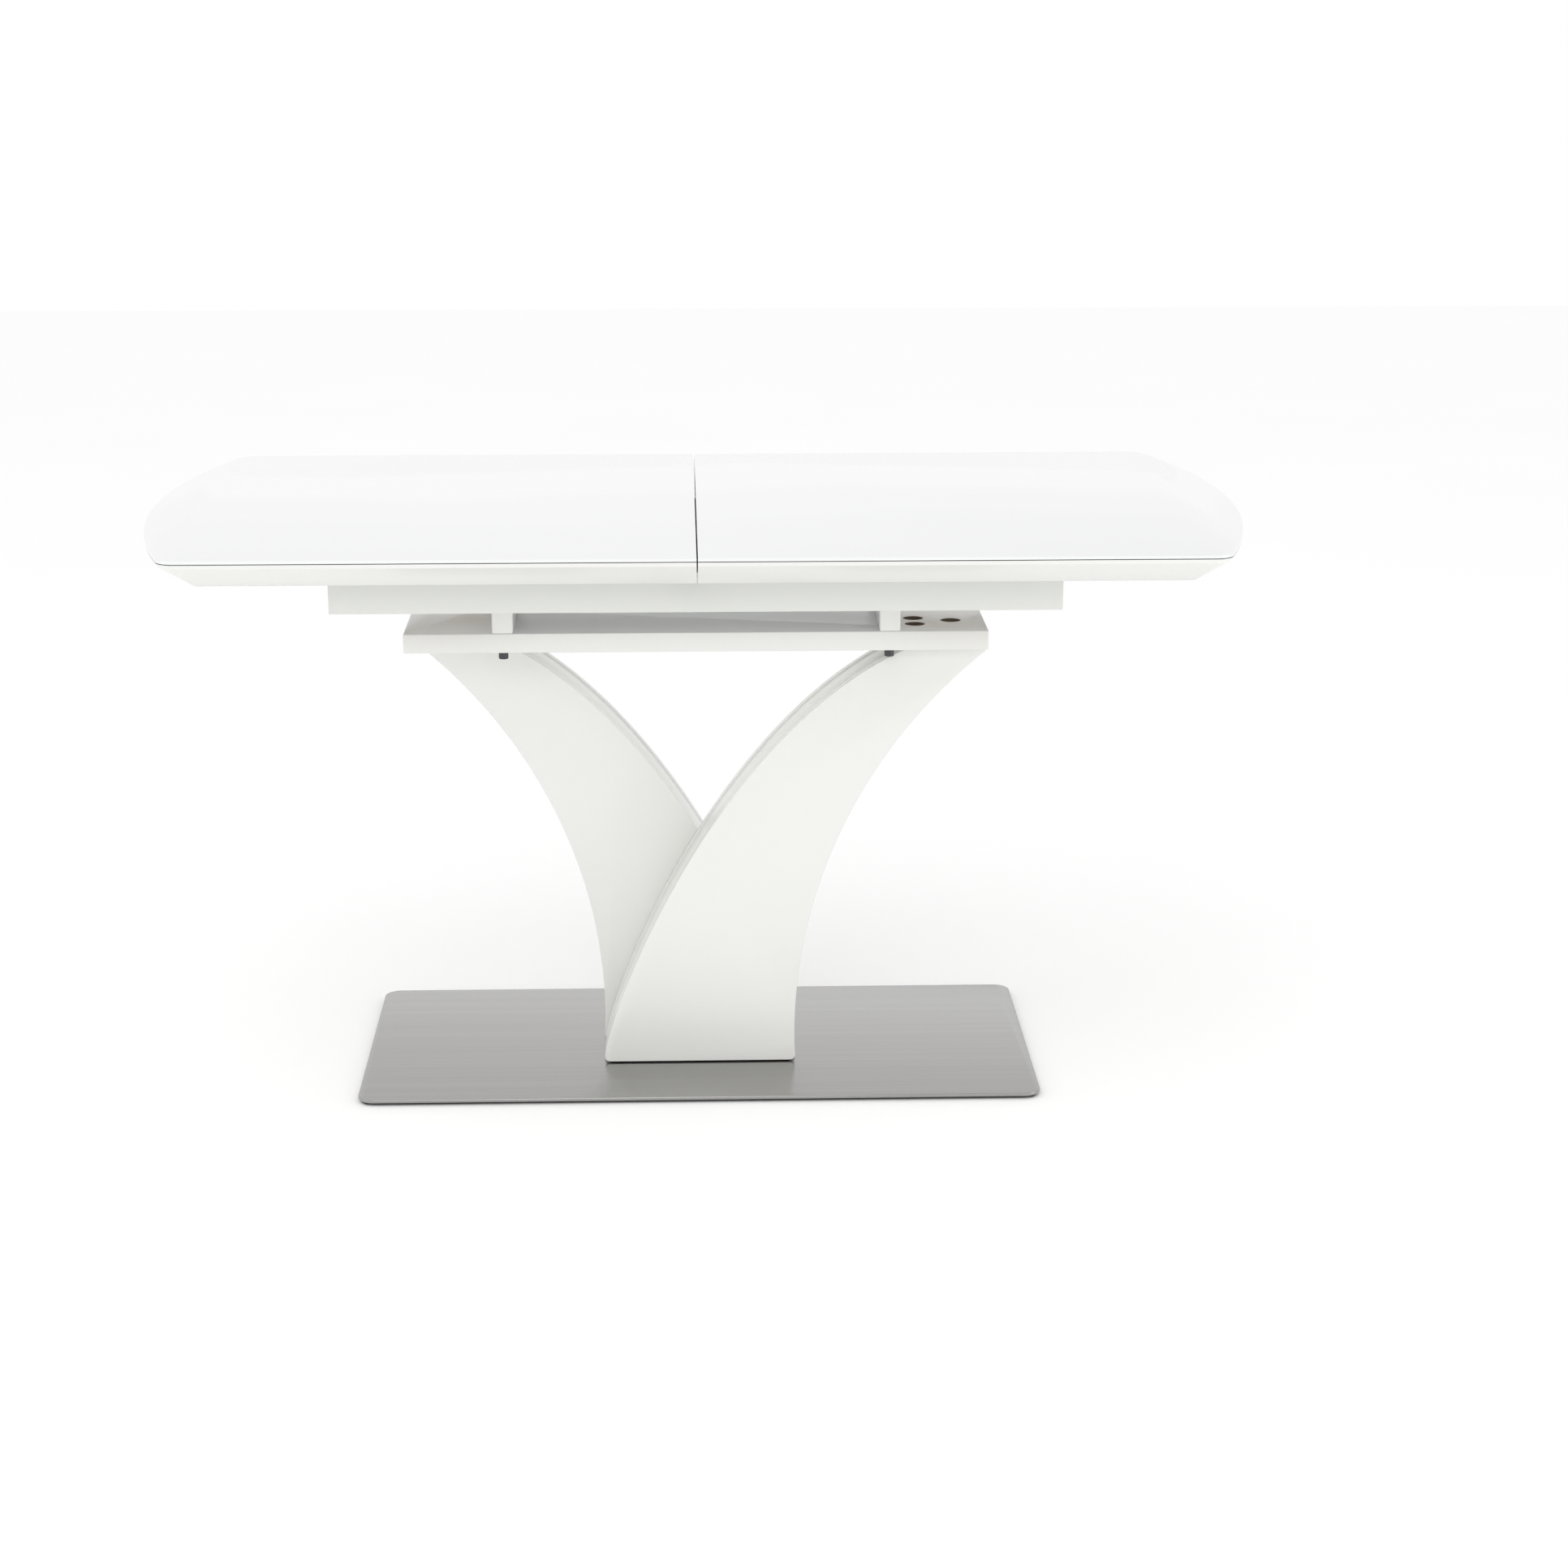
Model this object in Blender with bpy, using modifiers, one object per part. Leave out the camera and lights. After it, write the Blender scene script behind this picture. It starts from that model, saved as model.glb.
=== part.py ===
"""Extendable dining table: two sliding top halves on a shallow frame, carried by a pair of crossed curved
box legs on a flat base plate. Metres, +Z up, origin on the floor at the middle of the table, front at -Y.

Everything but the leaf's hinge is the same when the table is turned half a turn about Z, so most pieces
are made for one end and turned for the other."""

import bmesh
import bpy
import numpy as np
from math import atan2, cos, pi, radians, sin, sqrt
from mathutils import Matrix

# Driving dimensions
LENGTH = 1.400  # closed; each half slides out by TRAVEL
WIDTH = 0.800
HEIGHT = 0.750
TRAVEL = 0.200
GAP = 0.0003  # between pieces that touch
SEAM = 0.0016  # between the two top halves

# Top
GLASS_THICK = 0.004
TOP_THICK = 0.0395  # glass and board together
EDGE_BAND = 0.006  # steep part of the board's edge, under the glass
EDGE_LEAN = 0.0035  # how far that part leans in
BEVEL_WIDE = 0.048  # how far the underside is set in from the edge
END_RADIUS = 1.290
TOP_CORNER = 0.025
BEVEL_CORNER = 0.004

# Sliding frame
RAIL_THICK = 0.018
RAIL_HALF_LENGTH = 0.452
RAIL_FACE = 0.270  # outer face of the long rails, from the middle plane
RAIL_HIGH = 0.052
SLIDE_CLEARANCE = 0.0015  # between the frame and the top that slides over it
CROSS_X = 0.248
CROSS_THICK = 0.027
NOTCH_FROM = 0.216
NOTCH_FLOOR = 0.0083  # what is left of a cross rail under its notch
FLOOR_THICK = 0.004

# Ball slides: outer, middle and inner members are nested channels
SLIDE_X = (0.035, 0.431)
SLIDE_METAL = 0.0012
SLIDE_OUTER = {"web": 0.2515, "tip": 0.2430, "low": 0.0093, "high": 0.0473}  # heights above the rail's foot
SLIDE_MIDDLE = {"web": 0.2485, "tip": 0.2415, "low": 0.0118, "high": 0.0448}
SLIDE_INNER = {"web": 0.2395, "tip": 0.2460, "low": 0.0143, "high": 0.0423}
RUNNER_X = (0.030, 0.440)
RUNNER_Y = (0.2205, 0.2390)
RUNNER_LOW = 0.0113

# Folding leaf
LEAF_HALF = 0.199
WING_THICK = 0.018
WING_SPACE = 0.002
LEAF_HINGE_HALF = 0.180
KNUCKLE_RADIUS = 0.0025
HINGE_METAL = 0.0014
HINGE_INSET = 0.002

# Bearers and mounting board
BOARD_HALF_X = 0.375
BOARD_HALF_Y = 0.125
BOARD_THICK = 0.025
BEARER_HIGH = 0.056
BOLT_Y = 0.108
BOLT_HEAD_RADIUS = 0.00625
BOLT_HEAD_HIGH = 0.0104
BOLT_RADIUS = 0.004
BOLT_SOCKET_RADIUS = 0.0035
BOLT_SOCKET_DEEP = 0.005
BOLT_INTO_RAIL = 0.030
COUNTERBORES = ((0.283, -0.041), (0.283, -0.077), (0.331, -0.055))
COUNTERBORE_RADIUS = 0.01325
COUNTERBORE_DEEP = 0.015
SCREW_HOLE_RADIUS = 0.0035

# Legs: the front one leans to +X
LEG_DEEP = 0.0918
LEG_PANEL = 0.016
LEG_SKIN = 0.006
LEG_CORNER = 0.008
LEG_BLOCK_HIGH = 0.040
LEG_BLOCK_CLEAR = 0.0012  # between the block and the bent skins
OUTER_CENTRE = (0.7975, 0.0477)
OUTER_RADIUS = 0.6706
INNER_FOOT = (-0.1268, 0.0088)
INNER_BEND_LOW = (-0.1282, 0.0588)
INNER_BEND_HIGH = (0.0196, 0.4669)
INNER_TOP_X = 0.2822
OUTER_TRIM_X = 0.3745  # the top of the outer edge is cut plumb here, just inside the board's end
CURVE_STEPS = 20

# Base
BASE_HALF_X = 0.444
BASE_HALF_Y = 0.225
BASE_CORNER = 0.022
BASE_TOP = 0.0085
PLATE_THICK = 0.0045
UNDERLAY_INSET = 0.003
FOOT_THICK = 0.0012
FOOT_HALF = (0.035, 0.020)
FOOT_CORNER = 0.006
FOOT_INSET = 0.008

# Latches under the seam
LATCH_Y = 0.3125
LATCH_X = 0.012
LATCH_REACH = 0.030  # pivot to stud
LATCH_PLATE_THICK = 0.002
LATCH_PLATE_HALF = (0.009, 0.014)
HOOK_THICK = 0.003
HOOK_DROP = 0.0005  # between the plate and the hook
HOOK_HALF_WIDE = 0.0065
HOOK_BACK = 0.0085
HOOK_TIP = 0.039
HOOK_SLOT_HALF = 0.0042
STUD_RADIUS = 0.003
PIN_RADIUS = 0.0025
PIN_HEAD_RADIUS = 0.0045
PIN_HEAD_HIGH = 0.001

# Levels worked out from the above
GLASS_FOOT = HEIGHT - GLASS_THICK
TOP_FOOT = HEIGHT - TOP_THICK
RAIL_TOP = TOP_FOOT - GAP
RAIL_FOOT = RAIL_TOP - RAIL_HIGH
FRAME_TOP = RAIL_TOP - SLIDE_CLEARANCE
BEARER_TOP = RAIL_FOOT - GAP
BEARER_FOOT = BEARER_TOP - BEARER_HIGH
BOARD_TOP = BEARER_FOOT - GAP
BOARD_FOOT = BOARD_TOP - BOARD_THICK
LEG_TOP = BOARD_FOOT - GAP
LEG_FOOT = BASE_TOP + GAP
UNDERLAY_TOP = BASE_TOP - PLATE_THICK - GAP
UNDERLAY_FOOT = FOOT_THICK + GAP
INNER_TOP = (INNER_TOP_X, LEG_TOP)
RAIL_INNER = RAIL_FACE - RAIL_THICK - GAP

# Finishes: colour, roughness, metallic
WHITE_LACQUER = ((0.80, 0.80, 0.75), 0.30, 0.0)
WHITE_GLASS = ((0.86, 0.87, 0.86), 0.08, 0.0)
BEECH = ((0.62, 0.43, 0.25), 0.50, 0.0)
LEAF_WHITE = ((0.82, 0.82, 0.79), 0.30, 0.0)
BRUSHED_STEEL = ((0.55, 0.54, 0.52), 0.32, 1.0)
ZINC = ((0.60, 0.61, 0.63), 0.35, 1.0)
DARK_STEEL = ((0.10, 0.10, 0.11), 0.40, 1.0)
BLACK_BOARD = ((0.02, 0.02, 0.02), 0.60, 0.0)
BLACK_RUBBER = ((0.015, 0.015, 0.015), 0.85, 0.0)

for old in list(bpy.data.objects):
    bpy.data.objects.remove(old, do_unlink=True)

parts = bpy.data.collections.new("extendable_dining_table")
cutters = bpy.data.collections.new("cutters")
bpy.context.scene.collection.children.link(parts)
bpy.context.scene.collection.children.link(cutters)
cutters.hide_render = True


def finish(obj, look):
    """Gives an object its own material."""
    colour, rough, metal = look
    material = bpy.data.materials.new(obj.name)
    material.use_nodes = True
    shader = material.node_tree.nodes["Principled BSDF"]
    shader.inputs["Base Color"].default_value = (*colour, 1.0)
    shader.inputs["Roughness"].default_value = rough
    shader.inputs["Metallic"].default_value = metal
    obj.data.materials.clear()
    obj.data.materials.append(material)
    return obj


def add(name, mesh, look=None, place=(0.0, 0.0, 0.0), parent=None):
    """Adds a mesh as a part, or as a cutter when it has no finish."""
    obj = bpy.data.objects.new(name, mesh)
    obj.location = place
    obj.parent = parent
    if look is None:
        cutters.objects.link(obj)
        obj.hide_render = True
        obj.display_type = "WIRE"
        return obj
    parts.objects.link(obj)
    return finish(obj, look)


def box_mesh(size):
    mesh = bpy.data.meshes.new("box")
    bm = bmesh.new()
    bmesh.ops.create_cube(bm, size=1.0, matrix=Matrix.Diagonal((*size, 1.0)))
    bm.to_mesh(mesh)
    bm.free()
    return mesh


def rod_mesh(radius, length, sides=16, turn=None):
    """A cylinder along Z, centred on its origin, or turned by the matrix given."""
    mesh = bpy.data.meshes.new("rod")
    bm = bmesh.new()
    size = {"radius1": radius, "radius2": radius, "depth": length, "matrix": turn or Matrix()}
    bmesh.ops.create_cone(bm, cap_ends=True, segments=sides, **size)
    bm.to_mesh(mesh)
    bm.free()
    mesh.shade_smooth()
    mesh.set_sharp_from_angle(angle=radians(40))
    return mesh


def block(name, x, y, z, look=None, parent=None, soften=0.0):
    """A box between two limits on each axis."""
    middle = [(a + b) / 2 for a, b in (x, y, z)]
    obj = add(name, box_mesh([b - a for a, b in (x, y, z)]), look, middle, parent)
    if soften:
        edge = obj.modifiers.new("soften", "BEVEL")
        edge.width = soften
        edge.segments = 1
    return obj


def flat_mesh(points, thick, turn=None):
    """An outline filled and given a thickness, centred on its plane, then turned by the matrix given."""
    curve = bpy.data.curves.new("outline", "CURVE")
    curve.dimensions = "2D"
    curve.fill_mode = "BOTH"
    curve.extrude = thick / 2
    spline = curve.splines.new("POLY")
    spline.points.add(len(points) - 1)
    for point, (u, v) in zip(spline.points, points):
        point.co = (u, v, 0.0, 1.0)
    spline.use_cyclic_u = True
    guide = bpy.data.objects.new("guide", curve)
    cutters.objects.link(guide)
    mesh = bpy.data.meshes.new_from_object(guide.evaluated_get(bpy.context.evaluated_depsgraph_get()))
    bpy.data.objects.remove(guide)
    bm = bmesh.new()
    bm.from_mesh(mesh)
    bmesh.ops.remove_doubles(bm, verts=bm.verts, dist=1e-6)
    bm.transform(turn or Matrix())
    bmesh.ops.recalc_face_normals(bm, faces=bm.faces)
    bm.to_mesh(mesh)
    bm.free()
    return mesh


def combine(obj, other, operation="DIFFERENCE"):
    """Cuts another object from this one, or joins it on."""
    tool = obj.modifiers.new(other.name, "BOOLEAN")
    tool.object = other
    tool.operation = operation
    tool.solver = "EXACT"
    return obj


def drill(obj, x, y, low, high, radius, sides=16):
    """An upright round hole between two heights."""
    mesh = rod_mesh(radius, high - low, sides)
    return combine(obj, add(f"{obj.name}_hole", mesh, place=(x, y, (low + high) / 2), parent=obj.parent))


def rounded(half_x, half_y, radius, steps=4):
    """A rectangle with round corners, as points in order."""
    points = []
    for quarter, (sx, sy) in enumerate(((1, 1), (-1, 1), (-1, -1), (1, -1))):
        for step in range(steps + 1):
            angle = (quarter + step / steps) * pi / 2
            x = sx * (half_x - radius) + radius * cos(angle)
            y = sy * (half_y - radius) + radius * sin(angle)
            points.append((x, y))
    return points


def end_name(sign):
    return "right" if sign > 0 else "left"


def side_name(sign):
    return "back" if sign > 0 else "front"


# Top halves: straight long edges, a shallow arc at the end, small round corners, and a seam at X = 0


def top_outline(inset, corner):
    """One half's outline, set in from the edge: long edge, corner arc, end arc, corner arc, long edge."""
    half = WIDTH / 2 - inset
    radius = END_RADIUS - inset
    centre_x = LENGTH / 2 - END_RADIUS
    corner_x = centre_x + sqrt((radius - corner) ** 2 - (half - corner) ** 2)
    turn = atan2(half - corner, corner_x - centre_x)
    around = [-pi / 2 + (pi / 2 - turn) * step / 6 for step in range(6)]
    lower = [(corner_x + corner * cos(a), corner - half + corner * sin(a)) for a in around]
    end = [(centre_x + radius * cos(a), radius * sin(a)) for a in np.linspace(-turn, turn, 17)]
    upper = [(x, -y) for x, y in reversed(lower)]
    return [(SEAM / 2, -half), *lower, *end, *upper, (SEAM / 2, half)]


def loft_mesh(rings):
    """Closed solid through rings of matching points, lowest first, each going anticlockwise from above."""
    mesh = bpy.data.meshes.new("loft")
    count = len(rings[0])
    faces = [list(range(count))[::-1], [count * (len(rings) - 1) + i for i in range(count)]]
    for ring in range(len(rings) - 1):
        for i in range(count):
            j = (i + 1) % count
            faces.append([ring * count + i, ring * count + j, (ring + 1) * count + j, (ring + 1) * count + i])
    mesh.from_pydata([point for ring in rings for point in ring], [], faces)
    return mesh


def level(outline, z):
    return [(x, y, z) for x, y in outline]


rim = top_outline(0.0, TOP_CORNER)
board_mesh = loft_mesh(
    [
        level(top_outline(BEVEL_WIDE, BEVEL_CORNER), TOP_FOOT),
        level(top_outline(EDGE_LEAN, TOP_CORNER - EDGE_LEAN), GLASS_FOOT - EDGE_BAND),
        level(rim, GLASS_FOOT - GAP),
    ]
)
glass_mesh = flat_mesh(rim, GLASS_THICK)


def channel_mesh(member):
    """A C-shaped channel of thin metal along X, its open side towards the tips, for the +Y side."""
    t = SLIDE_METAL if member["tip"] > member["web"] else -SLIDE_METAL
    web, tip = member["web"], member["tip"]
    low, high = RAIL_FOOT + member["low"], RAIL_FOOT + member["high"]
    profile = [
        (web, low),
        (tip, low),
        (tip, low + SLIDE_METAL),
        (web + t, low + SLIDE_METAL),
        (web + t, high - SLIDE_METAL),
        (tip, high - SLIDE_METAL),
        (tip, high),
        (web, high),
    ]
    upright = Matrix(((0, 0, 1, 0), (1, 0, 0, 0), (0, 1, 0, 0), (0, 0, 0, 1)))
    return flat_mesh(profile, SLIDE_X[1] - SLIDE_X[0], upright)


def hook_outline():
    """The latch arm along +X from its pivot, with a slot open to -Y that takes the stud."""
    bow = [pi / 2 + pi * step / 8 for step in range(9)]
    heel = [(HOOK_BACK * cos(a), HOOK_BACK * sin(a)) for a in bow]
    slot_arc = [pi * step / 6 for step in range(7)]
    left, right = LATCH_REACH - HOOK_SLOT_HALF, LATCH_REACH + HOOK_SLOT_HALF
    slot = [(LATCH_REACH - HOOK_SLOT_HALF * cos(a), HOOK_SLOT_HALF * sin(a)) for a in slot_arc]
    tip = [(HOOK_TIP, -HOOK_HALF_WIDE / 2), (HOOK_TIP, HOOK_BACK)]
    return [*heel, (left, -HOOK_HALF_WIDE), *slot, (right, -HOOK_HALF_WIDE), *tip]


def carriage(name, turn):
    """The empty that one group of pieces hangs on, turned for the left-hand end."""
    empty = bpy.data.objects.new(name, None)
    empty.rotation_euler = (0.0, 0.0, turn)
    parts.objects.link(empty)
    return empty


def top_half(sign):
    """One half of the top with its runners and its share of the latches, on the empty that moves them."""
    end = end_name(sign)
    moving = carriage(f"{end}_top", 0.0 if sign > 0 else pi)
    add(f"glass_{end}", glass_mesh, WHITE_GLASS, (0, 0, HEIGHT - GLASS_THICK / 2), moving)
    add(f"top_board_{end}", board_mesh.copy(), WHITE_LACQUER, parent=moving)
    for local in (-1, 1):
        side = side_name(local * sign)
        y = sorted(local * edge for edge in RUNNER_Y)
        block(f"runner_{end}_{side}", RUNNER_X, y, (RAIL_FOOT + RUNNER_LOW, RAIL_TOP), BEECH, moving)
    latch(sign, moving)
    return moving


def latch(sign, moving):
    """Pivot plate, hook and stud. A half carries the pivot on one long side and the stud on the other."""
    plate_z = (RAIL_TOP - LATCH_PLATE_THICK, RAIL_TOP)
    hook_z = plate_z[0] - HOOK_DROP - HOOK_THICK / 2
    pin_foot = hook_z - HOOK_THICK / 2 - HOOK_DROP - PIN_HEAD_HIGH
    pivot_y, stud_y = LATCH_Y, -LATCH_Y
    stud_x = LATCH_REACH - LATCH_X
    half_x, half_y = LATCH_PLATE_HALF
    for kind, x, y, radius, side in (
        ("pivot", LATCH_X, pivot_y, PIN_RADIUS, side_name(sign)),
        ("stud", stud_x, stud_y, STUD_RADIUS, side_name(-sign)),
    ):
        plate = block(
            f"latch_{kind}_{side}", (x - half_x, x + half_x), (y - half_y, y + half_y), plate_z, ZINC, moving
        )
        pin_top = plate_z[0] + LATCH_PLATE_THICK / 2
        pin = rod_mesh(radius, pin_top - pin_foot)
        pin_place = (x, y, (pin_top + pin_foot) / 2)
        combine(plate, add(f"{kind}_pin", pin, place=pin_place, parent=moving), "UNION")
        if kind == "pivot":
            head = rod_mesh(PIN_HEAD_RADIUS, PIN_HEAD_HIGH)
            head_place = (x, y, pin_foot + PIN_HEAD_HIGH / 2)
            combine(plate, add("pin_head", head, place=head_place, parent=moving), "UNION")
    hook = add(f"latch_hook_{side_name(sign)}", flat_mesh(hook_outline(), HOOK_THICK), ZINC, parent=moving)
    hook.location = (LATCH_X, pivot_y, hook_z)
    hook.rotation_euler = (0.0, 0.0, -pi / 2)
    drill(hook, LATCH_X, pivot_y, hook_z - HOOK_THICK, hook_z + HOOK_THICK, PIN_RADIUS + GAP)


def slides(sign, moving):
    """Both ball slides of one end: outer members on the frame, middle ones between, inner ones on the top."""
    end = end_name(sign)
    turn = 0.0 if sign > 0 else pi
    middle = (SLIDE_X[0] + SLIDE_X[1]) / 2
    fixed = carriage(f"{end}_fixed", turn)
    between = carriage(f"{end}_mid", turn)
    for local in (-1, 1):
        side = side_name(local * sign)
        for kind, member, parent in (
            ("outer", SLIDE_OUTER, fixed),
            ("middle", SLIDE_MIDDLE, between),
            ("inner", SLIDE_INNER, moving),
        ):
            slide = add(f"slide_{kind}_{end}_{side}", channel_mesh(member), ZINC, (middle, 0, 0), parent)
            slide.rotation_euler = (0.0, 0.0, 0.0 if local > 0 else pi)


for sign in (1, -1):
    slides(sign, top_half(sign))

# Frame: two long rails, two end rails and two cross rails, with a floor panel between the cross rails


def notched_rail(name, x, half_thick):
    """A rail across the table, cut down near its ends where the runners and slides pass."""
    across = (-RAIL_INNER, RAIL_INNER)
    rail = block(name, (x - half_thick, x + half_thick), across, (RAIL_FOOT, FRAME_TOP), WHITE_LACQUER)
    for side in (-1, 1):
        y = sorted((side * NOTCH_FROM, side * RAIL_FACE))
        low = RAIL_FOOT + NOTCH_FLOOR
        combine(rail, block(f"{name}_notch", (x - 0.03, x + 0.03), y, (low, HEIGHT)))
    return rail


for side in (-1, 1):
    y = sorted((side * RAIL_FACE, side * (RAIL_FACE - RAIL_THICK)))
    long_x = (-RAIL_HALF_LENGTH, RAIL_HALF_LENGTH)
    block(f"frame_rail_{side_name(side)}", long_x, y, (RAIL_FOOT, FRAME_TOP), WHITE_LACQUER, soften=0.001)

for sign in (-1, 1):
    notched_rail(f"end_rail_{end_name(sign)}", sign * (RAIL_HALF_LENGTH - RAIL_THICK / 2), RAIL_THICK / 2)

floor_x = CROSS_X - CROSS_THICK / 2 - GAP
floor_z = (RAIL_FOOT, RAIL_FOOT + FLOOR_THICK)
block("frame_floor", (-floor_x, floor_x), (-RAIL_INNER, RAIL_INNER), floor_z, WHITE_LACQUER)

# Folding leaf, stowed with its two wings face to face on the frame's floor

wing_low = RAIL_FOOT + FLOOR_THICK + GAP
fold = wing_low + WING_THICK + WING_SPACE / 2
span = (-LEAF_HALF, LEAF_HALF)
block("leaf_wing_lower", span, span, (wing_low, wing_low + WING_THICK), LEAF_WHITE)
block("leaf_wing_upper", span, span, (fold + WING_SPACE / 2, fold + WING_SPACE / 2 + WING_THICK), LEAF_WHITE)
hinge_x = (-LEAF_HINGE_HALF, LEAF_HINGE_HALF)
hinge_y = (LEAF_HALF + GAP, LEAF_HALF + GAP + HINGE_METAL)
hinge_z = (fold - WING_THICK + HINGE_INSET, fold + WING_THICK - HINGE_INSET)
leaf_hinge = block("leaf_hinge", hinge_x, hinge_y, hinge_z, ZINC)
knuckle = rod_mesh(KNUCKLE_RADIUS, 2 * LEAF_HINGE_HALF - 0.001, 12, Matrix.Rotation(pi / 2, 4, "Y"))
knuckle_y = hinge_y[1] + KNUCKLE_RADIUS / 2
combine(leaf_hinge, add("leaf_knuckle", knuckle, place=(0, knuckle_y, fold)), "UNION")

# Bearers, mounting board and the bolts that hold them up to the cross rails

board_x = (-BOARD_HALF_X, BOARD_HALF_X)
board_y = (-BOARD_HALF_Y, BOARD_HALF_Y)
board = block("mounting_board", board_x, board_y, (BOARD_FOOT, BOARD_TOP), WHITE_LACQUER, soften=0.001)
for turn in (-1, 1):
    for x, y in COUNTERBORES:
        drill(board, turn * x, turn * y, BOARD_TOP - COUNTERBORE_DEEP, HEIGHT, COUNTERBORE_RADIUS, 24)
        drill(board, turn * x, turn * y, BOARD_FOOT - 0.01, BOARD_TOP, SCREW_HOLE_RADIUS, 12)

for sign in (-1, 1):
    end = end_name(sign)
    x = sign * CROSS_X
    bearer_x = (x - CROSS_THICK / 2, x + CROSS_THICK / 2)
    bearer_z = (BEARER_FOOT, BEARER_TOP)
    bearer = block(f"bearer_{end}", bearer_x, board_y, bearer_z, WHITE_LACQUER, soften=0.002)
    cross_rail = notched_rail(f"cross_rail_{end}", x, CROSS_THICK / 2)
    for side in (-1, 1):
        y = side * BOLT_Y
        for piece in (board, bearer, cross_rail):
            drill(piece, x, y, BOARD_FOOT - 0.01, RAIL_FOOT + BOLT_INTO_RAIL + GAP, BOLT_RADIUS + GAP)
        head_top = BOARD_FOOT - GAP
        head_foot = head_top - BOLT_HEAD_HIGH
        head = rod_mesh(BOLT_HEAD_RADIUS, BOLT_HEAD_HIGH, 20)
        shank_low = head_top - BOLT_HEAD_HIGH / 2
        bolt = add(f"frame_bolt_{end}_{side_name(side)}", head, DARK_STEEL, (x, y, shank_low))
        shank_high = RAIL_FOOT + BOLT_INTO_RAIL
        shank = rod_mesh(BOLT_RADIUS, shank_high - shank_low)
        combine(bolt, add("shank", shank, place=(x, y, (shank_low + shank_high) / 2)), "UNION")
        drill(bolt, x, y, head_foot - 0.01, head_foot + BOLT_SOCKET_DEEP, BOLT_SOCKET_RADIUS, 6)

# Legs: each is a box of two flat panels with a bent skin along each curved edge and a block at the top

steps = np.linspace(0.0, 1.0, CURVE_STEPS + 1)


def inner_curve(t):
    """The leg's inner edge: a cubic curve from the foot to the top, as (x, z) rows."""
    t = t[:, None]
    foot, low, high, top = (np.array(p) for p in (INNER_FOOT, INNER_BEND_LOW, INNER_BEND_HIGH, INNER_TOP))
    return (1 - t) ** 3 * foot + 3 * (1 - t) ** 2 * t * low + 3 * (1 - t) * t**2 * high + t**3 * top


def inner_x(z, inset):
    """X of the inner edge at the heights given, set into the leg."""
    line = inner_curve(np.linspace(-0.1, 1.1, 241))
    along = np.gradient(line, axis=0)
    along /= np.linalg.norm(along, axis=1)[:, None]
    line = line + inset * np.column_stack((along[:, 1], -along[:, 0]))
    return np.interp(z, line[:, 1], line[:, 0])


def outer_x(z, inset):
    """X of the outer edge, set into the leg: an arc of a circle outside it, cut plumb at the top."""
    centre_x, centre_z = OUTER_CENTRE
    arc = centre_x - np.sqrt((OUTER_RADIUS + inset) ** 2 - (z - centre_z) ** 2)
    return np.minimum(arc, OUTER_TRIM_X - inset)


def soft_corner(before, corner, after):
    """Points round a corner: a small parabola between two points LEG_CORNER away from it."""
    ends = []
    for other in (before, after):
        away = np.subtract(other, corner)
        ends.append(np.add(corner, away * LEG_CORNER / np.linalg.norm(away)))
    middle = np.array(corner)
    return [tuple((1 - t) ** 2 * ends[0] + 2 * t * (1 - t) * middle + t * t * ends[1]) for t in steps[::5]]


inner_z = inner_curve(steps)[:, 1]
trim_z = OUTER_CENTRE[1] + sqrt(OUTER_RADIUS**2 - (OUTER_CENTRE[0] - OUTER_TRIM_X) ** 2)
outer_z = np.append(np.linspace(LEG_FOOT, trim_z, CURVE_STEPS + 1), LEG_TOP)
inner_edge = list(zip(inner_x(inner_z, 0.0), inner_z))
outer_edge = list(zip(outer_x(outer_z, 0.0), outer_z))
panel_outline = [
    *soft_corner(inner_edge[1], inner_edge[0], outer_edge[0]),
    *soft_corner(inner_edge[0], outer_edge[0], outer_edge[1]),
    *outer_edge[1:],
    *reversed(inner_edge[1:]),
]
inner_skin = [*inner_edge, *reversed(list(zip(inner_x(inner_z, LEG_SKIN), inner_z)))]
outer_skin = [*outer_edge, *reversed(list(zip(outer_x(outer_z, LEG_SKIN), outer_z)))]
block_z = np.linspace(LEG_TOP - LEG_BLOCK_HIGH, LEG_TOP, 5)
block_outline = [
    *zip(inner_x(block_z, LEG_SKIN + LEG_BLOCK_CLEAR), block_z),
    *reversed(list(zip(outer_x(block_z, LEG_SKIN + LEG_BLOCK_CLEAR), block_z))),
]
stand_up = Matrix.Rotation(pi / 2, 4, "X")
face = -GAP - LEG_DEEP
back = -GAP
between_panels = (face + LEG_PANEL + GAP, back - LEG_PANEL - GAP)
leg_pieces = (
    ("front_panel", panel_outline, (face, face + LEG_PANEL), WHITE_LACQUER),
    ("rear_panel", panel_outline, (back - LEG_PANEL, back), WHITE_LACQUER),
    ("inner_skin", inner_skin, between_panels, WHITE_LACQUER),
    ("outer_skin", outer_skin, between_panels, WHITE_LACQUER),
    ("top_block", block_outline, between_panels, BEECH),
)
for leg, sign in (("front_leg", 1), ("rear_leg", -1)):
    for kind, outline, (near, far), look in leg_pieces:
        mesh = flat_mesh(outline, far - near, stand_up)
        piece = add(f"{leg}_{kind}", mesh, look, (0, sign * (near + far) / 2, 0))
        piece.rotation_euler = (0.0, 0.0, 0.0 if sign > 0 else pi)

# Base: steel plate over a black board on four thin feet

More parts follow.
